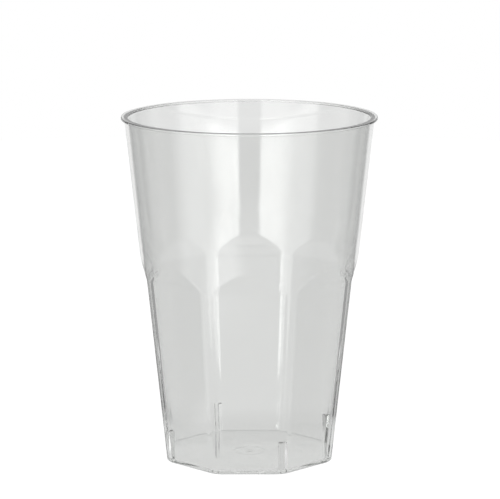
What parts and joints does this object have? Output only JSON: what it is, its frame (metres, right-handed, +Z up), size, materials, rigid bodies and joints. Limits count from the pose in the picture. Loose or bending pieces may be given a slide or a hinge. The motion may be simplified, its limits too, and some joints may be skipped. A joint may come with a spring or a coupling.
{
  "type": "plastic tumbler",
  "caption": "Clear moulded plastic tumbler: round tapered upper wall with a small rim lip, flat facets with arched tops below, flat floor and stacking ribs inside.",
  "frame": {"origin": "middle of the face that the tumbler stands on", "axes": "+Z up along the tumbler's axis, out of the mouth; one flat facet looks along -Y"},
  "size_m": [0.0812, 0.0812, 0.11],
  "materials": {
    "clear_plastic": "clear colourless polystyrene, polished mould finish, see-through on every wall"
  },
  "bodies": {
    "root": {"tumbler": "clear_plastic"}
  },
  "joints": []
}
